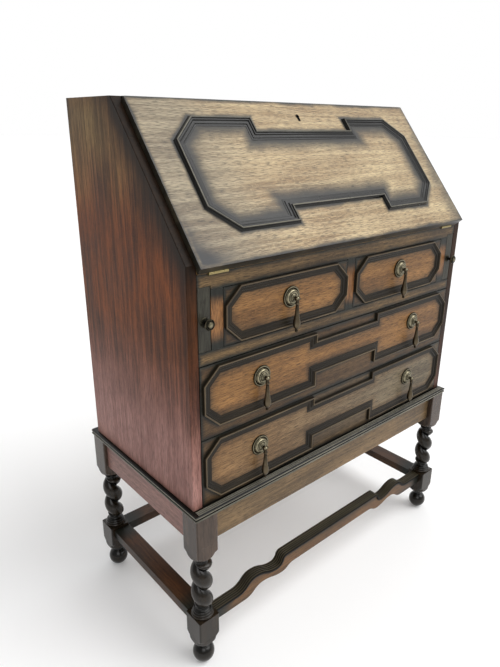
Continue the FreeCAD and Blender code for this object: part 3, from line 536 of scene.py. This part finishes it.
# the reeds are 1.3 mm high and end 8 mm from the stand's ends, clear of the lowest drawer
ledge = front_y / MM - front
reeds = np.array([(4.2 + 3.9 * i + 1.9 * math.sin(a), 1.3 * math.cos(a))
                  for i in range(3) for a in np.linspace(-math.pi / 2, math.pi / 2, 7)]
                 + [(ledge - 1, -0.4), (2.3, -0.4)])
width = high[0] / MM - 8
shape = (2, len(reeds))
points = np.stack([np.broadcast_to(np.array([-width, width])[:, None], shape),
                   np.broadcast_to(front + reeds[None, :, 0], shape),
                   np.broadcast_to(high[2] / MM + reeds[None, :, 1], shape)], axis=2) * MM
# the reeds' relief grows with their height, so their tops carry painted highlight lines
piece("stand_beaded_edge", "carcass", "oak_moulding", black_moulding_painted_highlights, ["stand_moulding"], edge,
      skin(points, 0.88 + 0.1 * reeds[:, 1], [0, 2 * width * MM, 0]))

# %% [markdown]
# ## Barley-twist legs
# A leg is turned from a square length: ball foot, square block, reeded collar, twist, and square
# block again. All of it can be one surface in polar form, a radius for each angle and height. On the
# turned parts the radius depends on height alone. On the blocks it is the smaller of that radius and
# the distance to the square's side, which is what a lathe leaves: rounded shoulders that run out into
# flat faces. On the twist it depends on the angle less the winding angle.

# %% Leg surface
def leg_skin(centre, top):
    """Radius(angle, height) = the turned radius, cut by the square, or the twist's ridge.

    Square: half / max(|cos|, |sin|), with its corners eased by (2 half - 1.2) / (|cos| + |sin|).
    Twist: valley + depth (1 - |wound / 180| ^ 2) ^ 0.75, where wound is the angle from the crest.
    """
    # profiles are (height, radius) in mm; a radius of 35 lies outside the square, so it leaves it whole
    half, ball_radius, pitch, valley, crest = 22.5, 21, 44, 8.0, 20.6
    twist_low, twist_high, facing_right = 138, 238, 144
    ball = [(z, math.sqrt(max(ball_radius ** 2 - (z - ball_radius) ** 2, 20)))
            for z in np.linspace(0.02, 37.5, 30)]
    below = smooth_line([(37.5, 12.9), (38.5, 12.2), (40, 10.2), (43, 9.2), (46, 9), (50, 9.2), (50, 9.2),
                         (50.2, 15.5), (52.5, 17), (54, 20), (57, 24.2), (60, 25.6), (66, 26.2),
                         (66, 26.2), (66.5, 28), (71, 30.6), (75, 33), (78, 35)])
    # three rings, each smaller than the one below it, and a hollow neck
    collar = smooth_line([(116, 35), (116, 35), (116, 19.6), (116, 19.6), (117, 21.2), (119, 21.6),
                          (121, 20), (121.4, 18.4), (121.6, 18.4), (122.6, 19.8), (124.2, 19.6),
                          (125.8, 18.2), (126.2, 16.8), (126.4, 16.8), (127.2, 17.9), (128.6, 17.6),
                          (130, 16.2), (130.6, 14.6), (132, 12.8), (134.4, 12), (136.4, 12.6),
                          (twist_low, 13.6)])
    winding = [(z, 0) for z in np.linspace(twist_low + 0.01, twist_high - 0.01, 140)]
    above = smooth_line([(twist_high, 12.4), (240, 11.6), (242, 12.4), (243.6, 13.8), (245.4, 13.4),
                         (247, 11.8), (249, 11.4), (250.4, 13), (252, 17.4), (254.4, 21.4), (257.6, 24.6),
                         (263, 26.8), (263, 26.8), (263.5, 28.6), (266, 31), (269, 33.6), (273, 35)])
    profile = np.vstack([ball, below, [(90, 35), (104, 35)], collar, winding, above,
                         [(300, 35), (322, 35), (top, 35)]])
    z, turned_radius = profile[:, :1], profile[:, 1:]
    corner = np.array([-2, 0, 2])[None, :] + np.array([45, 135, 225, 315])[:, None]
    angle = np.radians(np.unique(np.concatenate([np.arange(0, 360, 4.5), corner.ravel()])))[None, :]
    flat = half / np.maximum(abs(np.cos(angle)), abs(np.sin(angle)))
    eased = (2 * half - 1.2) / (abs(np.cos(angle)) + abs(np.sin(angle)))
    # the crest winds once round in a pitch, and points to the right at the height facing_right
    wound = (angle + 2 * np.pi * (z - facing_right) / pitch + np.pi) % (2 * np.pi) - np.pi
    share = (1 - abs(wound / np.pi) ** 2) ** 0.75
    ridge = valley + (crest - valley) * share
    # the last 7 mm of the ridge run out into the collar below and the neck above
    for end, radius in ((twist_low, 13.6), (twist_high, 12.4)):
        share_out = np.clip(1 - abs(z - end) / 7, 0, 1) ** 2
        ridge = ridge + (radius - ridge) * share_out
    on_twist = (z > twist_low) & (z < twist_high)
    radius = np.where(on_twist, ridge, np.minimum(np.minimum(flat, eased), turned_radius))
    relief = np.where(on_twist, share, np.clip((np.minimum(turned_radius, 22) - 9) / 13, 0, 1) ** 2)
    points = np.stack([centre[0] / MM + radius * np.cos(angle), centre[1] / MM + radius * np.sin(angle),
                       np.broadcast_to(z, radius.shape)], axis=2) * MM
    return skin(points, relief)


# the legs are nearly black, and their upper blocks are as brown as the friezes beside them
LEG_TONED, LEG_RUBBED = ("#020302", "#0B0C09"), ("#12120D", "#30261B")
LEG_TINT = (("#2C231B", "#554439"), (0, 1), 60, 110, 0.95)
for row in ("front", "back"):
    for side in ("left", "right"):
        low, high = (np.array(corner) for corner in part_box(f"leg_{row}_{side}"))
        centre = (low + high) / 2
        finish = oak(f"oak_leg_{row}_{side}", LEG_TONED, LEG_RUBBED, "y", tuple(centre), (90, 0, 0),
                     relief_wear_and_highlight_mask(0.25, 1.15), 0.24, 0.7, 0.3, 0.16, [LEG_TINT])
        piece(f"turned_leg_{row}_{side}", "carcass", "oak_stand", finish, [f"leg_{row}_{side}"],
              leg_skin(centre, high[2] / MM), crease=40)

# %% [markdown]
# ## Friezes and stretchers
# The rails of the stand are plain boards with eased edges, toned darker at their ends. The friezes
# match the carcass above them, golden in front and pinker at the sides.

# %% Rails of the stand
PINK, BROWN = ("#6A4A42", "#946F66"), ("#3E2210", "#74441F")
# each rail: how its face is turned, the axis of its length, and its rubbed colours
RAILS = {"frieze_front": ((90, 0, 0), 0, ("#4A3B28", "#836A4A")),
         "frieze_back": ((90, 0, 0), 0, BROWN),
         "frieze_left": ((90, 0, 90), 1, PINK),
         "frieze_right": ((90, 0, 90), 1, PINK),
         "stretcher_left": ((0, 0, 90), 1, BROWN),
         "stretcher_right": ((0, 0, 90), 1, BROWN),
         "stretcher_back": ((0, 0, 0), 0, BROWN),
         "stretcher_front": ((90, 0, 0), 0, ("#5C3E20", "#94683C"))}
for node, (turn, axis, rubbed) in RAILS.items():
    centre, half = middle_of(node)
    tone = toner_and_shade_mask((half[axis], 60), (-30, 12) if node.startswith("frieze") else (10, 90))
    finish_board(node, oak(f"oak_{node}", STAIN_DEEP, rubbed, "x", centre, turn, tone, 0.38, 0.8))

# %% [markdown]
# The front stretcher is sawn to a wavy outline and capped with a reeded strip. The strip is a reeded
# section carried along the wave: each rise is two equal arcs, and the section stands square to the
# line.

# %% Reeded capping of the front stretcher
def wave(levels, half):
    """Points on the wavy line and the upward normals there, from the left end to the right.

    Between two levels the line is two arcs of radius (run^2 + rise^2) / (4 rise), each turning
    through 2 atan(rise / run), so it leaves both levels without a corner.
    """
    turn = np.linspace(0, 1, 13)
    spots, ups = [], []
    for (x_low, z_low), (x_high, z_high) in zip(levels, levels[1:]):
        run, rise = x_high - x_low, z_high - z_low
        radius = (run ** 2 + rise ** 2) / (4 * abs(rise))
        bend = turn * 2 * math.atan(abs(rise) / run)
        for x, z, side, lean in ((x_low, z_low, np.sign(rise), 1), (x_high, z_high, -np.sign(rise), -1)):
            spot = np.stack([x + lean * radius * np.sin(bend),
                             z + side * radius * (1 - np.cos(bend))], axis=1)
            up = np.stack([-side * lean * np.sin(bend), np.cos(bend)], axis=1)
            spots.append(spot if lean > 0 else spot[-2::-1])
            ups.append(up if lean > 0 else up[-2::-1])
    spots.append([(half, levels[-1][1])])
    ups.append([(0, 1)])
    spots, ups = np.vstack(spots), np.vstack(ups)
    mirror = np.array([-1, 1])
    return np.vstack([spots[::-1] * mirror, spots]), np.vstack([ups[::-1] * mirror, ups])


low, high = (np.array(corner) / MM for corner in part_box("stretcher_capping"))
# the wave's levels, from its middle to its right end
line, normal = wave([(152, 137.5), (177, 117.5), (237, 132.5), (284, 112.5)], high[0])
reeds = [(2.4 + 4.8 * i + 2.4 * math.sin(a), -1.6 + 1.6 * math.cos(a))
         for i in range(5) for a in np.linspace(-1.35, 1.35, 6)]
section = np.array([(0.8, -6.5), (0.1, -5.4), (0, -2.6)] + reeds + [(24, -2.6), (24, -6.5)])
points = np.concatenate([line[:, None, :1] + normal[:, None, :1] * section[None, :, 1:],
                         np.broadcast_to(low[1] + section[None, :, :1], (len(line), len(section), 1)),
                         line[:, None, 1:] + normal[:, None, 1:] * section[None, :, 1:]], axis=2) * MM
along = np.concatenate([[0], np.cumsum(np.linalg.norm(np.diff(line, axis=0), axis=1)), [0]]) * MM
# near-black, with painted highlight lines on the tops of the reeds
capping_painted_highlights = oak("oak_capping_painted_highlights", ("#030403", "#0A0B08"), ("#3E362A", "#857A60"), "uv",
                  tone=relief_wear_and_highlight_mask(0.965, 1.02), gloss=0.3, figure=0.3, coat=0, shine=0.06)
piece("stretcher_reeded_capping", "carcass", "oak_moulding", capping_painted_highlights, ["stretcher_capping"],
      skin(points, 1 + 0.08 * section[:, 1], along))

# %% [markdown]
# ## Brass
# The handles are cast and turned brass with an antique finish: a green-brown lacquer that stays in
# the hollows and is rubbed through on rims and bellies. The metal keeps the default IOR; roughness
# and colour follow the relief. The drops and the keyhole are darker, and the hinges and the lock are
# plain, brighter brass.

# %% Brass materials
def brass(name, hollow, crest, rough=(0.5, 0.32), grain_mm=3.0):
    """Antiqued brass: lacquer in the hollows, bare metal on the crests, and fine cloudy tarnish."""
    material, tree = new_tree(name)
    place = add(tree, "TexCoord").outputs["Object"]
    noise = add(tree, "TexNoise", {"Vector": place, "Scale": 1 / (grain_mm * MM), "Detail": 4}).outputs[0]
    height = add(tree, "Attribute", attribute_name="relief").outputs["Fac"]
    worn = add(tree, "Math", {0: noise, 1: 0.5, 2: height}, operation="MULTIPLY_ADD").outputs[0]
    mask = add(tree, "MapRange", {0: worn, 1: 0.55, 2: 1.3}, interpolation_type="SMOOTHSTEP").outputs[0]
    colour = add(tree, "Mix", {0: mask, 6: linear(hollow), 7: linear(crest)}, data_type="RGBA").outputs[2]
    dull = add(tree, "MapRange", {0: mask, 3: rough[0], 4: rough[1]}).outputs[0]
    bump = add(tree, "Bump", {"Height": noise, "Strength": 0.2, "Distance": 0.2 * MM}).outputs[0]
    shader = add(tree, "BsdfPrincipled", {"Base Color": colour, "Metallic": 1.0, "Roughness": dull,
                                          "Normal": bump})
    add(tree, "OutputMaterial", {0: shader.outputs[0]})
    print(f"{name}: {hollow} in the hollows, {crest} on the crests")
    return material


aged_brass = brass("brass_aged", "#100F0C", "#8A836C")
dark_brass = brass("brass_bronzed", "#0C0A08", "#5C5242")
bright_brass = brass("brass_plain", "#9A8C62", "#DDD2A8", (0.4, 0.3))
FITTINGS = {"keyhole_escutcheon": dark_brass, "rail_hinge_leaves": bright_brass,
            "fall_hinge_leaves": bright_brass, "fall_lock_case": bright_brass,
            "lock_bolt": bright_brass, "lock_strike": bright_brass}
for node, metal in FITTINGS.items():
    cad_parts[node].data.materials.clear()
    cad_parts[node].data.materials.append(metal)

# %% [markdown]
# ## Handles and knobs
# Plates, drops and knobs are all spun or turned, so each is a profile spun about an axis: the plate
# and the knob about a line out of the drawer front, the pear of the drop about its own length.

# %% Spun brass
def spun(profile, place, relief=None, count=48):
    """Point (i, j) has the profile's height i on the axis and its radius i at angle j round it."""
    line = np.array(profile, float)
    angle = np.linspace(0, 2 * np.pi, count, endpoint=False)[None, :]
    height, radius = line[:, :1], np.maximum(line[:, 1:2], 0.01)
    solid = np.stack([radius * np.cos(angle), radius * np.sin(angle),
                      np.broadcast_to(height, (len(line), count))], axis=2) * MM
    points = solid @ np.array(place.to_3x3()).T + np.array(place.translation)
    return skin(points, np.ones((len(line), 1)) if relief is None else np.asarray(relief)[:, None])


# profiles are (height out of the drawer or along the drop, radius) in mm
PLATE = smooth_line([(0, 19.3), (0.8, 19.8), (2, 19.5), (3, 18.2), (3, 17), (2.3, 16.2), (2.2, 15.4),
                     (3.2, 14.6), (5.4, 13.7), (6.8, 12.2), (7.1, 10.8), (6.7, 9.6), (6.9, 8.4), (8, 7),
                     (9, 5.6), (9.4, 4.4), (10, 3.4), (12, 2.8), (13.4, 3), (15.4, 3.6), (17.6, 3.2),
                     (19, 1.8), (19.4, 0.01)], 5)
plate_relief = np.interp(PLATE[:, 0], [0, 1.5, 2.2, 3, 6.8, 7.2, 9, 12, 17],
                         [0.3, 0.5, 0.2, 0.8, 1, 0.4, 0.8, 0.3, 1])
PEAR = smooth_line([(3.2, 0.01), (2.6, 2.2), (0, 3.4), (-3, 3.4), (-5.4, 3), (-7, 3.3), (-8.6, 4),
                    (-10, 3.6), (-11.4, 2.6), (-14, 2.9), (-20, 3.3), (-27, 4), (-34, 5), (-41, 6.4),
                    (-46, 6.85), (-50.5, 6.2), (-54, 4.3), (-56, 2.7), (-57.2, 2), (-58.4, 2.5),
                    (-60, 2.8), (-61.4, 2), (-62.3, 0.01)], 5)
pear_relief = np.interp(PEAR[:, 1], [0, 2, 4, 6.8], [0.5, 0.45, 0.8, 1])
DROPS = {"short_drawer_left": ["short_drop_left"], "short_drawer_right": ["short_drop_right"],
         "middle_drawer": ["middle_drop_left", "middle_drop_right"],
         "lower_drawer": ["lower_drop_left", "lower_drop_right"]}
for drawer, drops in DROPS.items():
    plates = []
    for drop in drops:
        low, high = (np.array(corner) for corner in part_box(drop))
        pivot = np.array([(low[0] + high[0]) / 2, front_y - 16 * MM, high[2] - 2.5 * MM])
        on_front = Matrix.Translation((pivot[0], front_y, pivot[2]))
        plates.append(spun(PLATE, on_front @ Matrix.Rotation(math.radians(90), 4, "X"), plate_relief))
        # the drop hangs from a pin that runs sideways through its head, between two cheeks
        at_pivot = Matrix.Translation(pivot)
        sideways = at_pivot @ Matrix.Rotation(math.radians(90), 4, "Y")
        pin = smooth_line([(-5, 0.01), (-5, 1.2), (-5, 1.2), (5, 1.2), (5, 1.2), (5, 0.01)], 3)
        cheeks = [spun([(x, 0.01), (x, 2.4), (x + 1.5, 2.4), (x + 1.5, 0.01)], sideways)
                  for x in (-5.1, 3.6)]
        piece(f"pear_{drop}", drop, "brass_aged", dark_brass, [drop],
              spun(PEAR, at_pivot, pear_relief), spun(pin, sideways), *cheeks)
    piece(f"spun_plates_{drawer}", drawer, "brass_aged", aged_brass, [f"{drawer}_plates"], *plates)

KNOB = smooth_line([(0, 8.3), (1, 8.3), (1.8, 7), (2.8, 4.4), (4, 3.3), (8.6, 3), (10.6, 4), (12, 6.6),
                    (12.8, 8.8), (14, 9.3), (15.4, 9), (16.4, 8.2), (16.7, 7.4), (16.1, 6.5),
                    (16.4, 5.6), (17.4, 4.4), (18.3, 2.2), (18.6, 0.01)], 6)
knob_relief = np.interp(KNOB[:, 0], [0, 3, 9, 14, 16.2, 18.6], [0.6, 0.3, 0.3, 1, 0.3, 0.9])
for side in ("left", "right"):
    low, high = (np.array(corner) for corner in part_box(f"loper_knob_{side}"))
    on_end = Matrix.Translation(((low[0] + high[0]) / 2, high[1], (low[2] + high[2]) / 2))
    piece(f"turned_knob_{side}", f"loper_{side}", "brass_aged", aged_brass, [f"loper_knob_{side}"],
          spun(KNOB, on_end @ Matrix.Rotation(math.radians(90), 4, "X"), knob_relief))

# %% [markdown]
# ## Stage and light
# A pale floor runs to the horizon, as in a white studio. A wide soft sun from the upper left gives
# the mouldings their bright and dark sides, and a small lamp in front fills the shadows. The sky is
# brighter behind the desk than in front of it, so the fall shines a little and the front stays deep.

# %% Floor and lights
floor_mesh = bpy.data.meshes.new("floor")
floor_mesh.from_pydata([(-40, -40, 0), (40, -40, 0), (40, 40, 0), (-40, 40, 0)], [], [(0, 1, 2, 3)])
floor = bpy.data.objects.new("floor", floor_mesh)
bpy.context.scene.collection.objects.link(floor)
floor_paint, tree = new_tree("floor_paint")
shader = add(tree, "BsdfPrincipled", {"Base Color": linear("#FAFAFA"), "Roughness": 0.7})
add(tree, "OutputMaterial", {0: shader.outputs[0]})
floor_mesh.materials.append(floor_paint)

world = bpy.data.worlds.new("studio")
world.use_nodes = True
sky = world.node_tree
direction = add(sky, "TexCoord").outputs["Generated"]
behind = add(sky, "VectorMath", {0: direction, 1: (0.66, 0.75, 0)}, operation="DOT_PRODUCT").outputs[1]
level = add(sky, "MapRange", {0: behind, 1: -0.3, 2: 0.5, 3: 0.4, 4: 1.0},
            interpolation_type="SMOOTHSTEP").outputs[0]
sky.links.new(level, sky.nodes["Background"].inputs[1])
sky.nodes["Background"].inputs[0].default_value = linear("#FFFFFF")
bpy.context.scene.world = world


def lamp(name, size, watts, place, aim):
    """A square soft lamp at a place, aimed at a point."""
    light = bpy.data.lights.new(name, "AREA")
    light.size = size
    light.energy = watts
    made = bpy.data.objects.new(name, light)
    bpy.context.scene.collection.objects.link(made)
    made.location = place
    made.rotation_euler = (Vector(place) - Vector(aim)).to_track_quat("Z", "Y").to_euler()


lamp("fill", 1.6, 22, (-1.6, -2.0, 2.2), (0, 0, 0.5))
sun = bpy.data.lights.new("window", "SUN")
sun.energy = 2.1
sun.angle = math.radians(50)
window = bpy.data.objects.new("window", sun)
bpy.context.scene.collection.objects.link(window)
window.rotation_euler = (math.radians(32), math.radians(30), 0)
print("lights:", [light.name for light in bpy.data.lights])

# %% [markdown]
# ## Camera
# The camera stands in front of the desk's left end, about as high as its top, and looks down at it.
# Its angles are a yaw from the desk's depth, a pitch below level and a slight roll.

# %% Camera
yaw, pitch, roll = (math.radians(a) for a in (41.34, 19.86, -0.54))
forward = np.array([math.sin(yaw) * math.cos(pitch), math.cos(yaw) * math.cos(pitch), -math.sin(pitch)])
right = np.cross(forward, [0, 0, 1])
right /= np.linalg.norm(right)
down = np.cross(forward, right)
right, down = right * math.cos(roll) + down * math.sin(roll), down * math.cos(roll) - right * math.sin(roll)
camera_data = bpy.data.cameras.new("camera")
camera_data.lens = 30.25
camera_data.shift_x, camera_data.shift_y = -0.006, -0.0114
camera = bpy.data.objects.new("camera", camera_data)
bpy.context.scene.collection.objects.link(camera)
camera.location = (-0.8315, -0.839, 0.9868)
camera.rotation_euler = Matrix(np.stack([right, -down, -forward], axis=1).tolist()).to_euler()
bpy.context.scene.camera = camera
bpy.context.scene.view_settings.view_transform = "Standard"
print("camera at", tuple(round(value, 3) for value in camera.location))
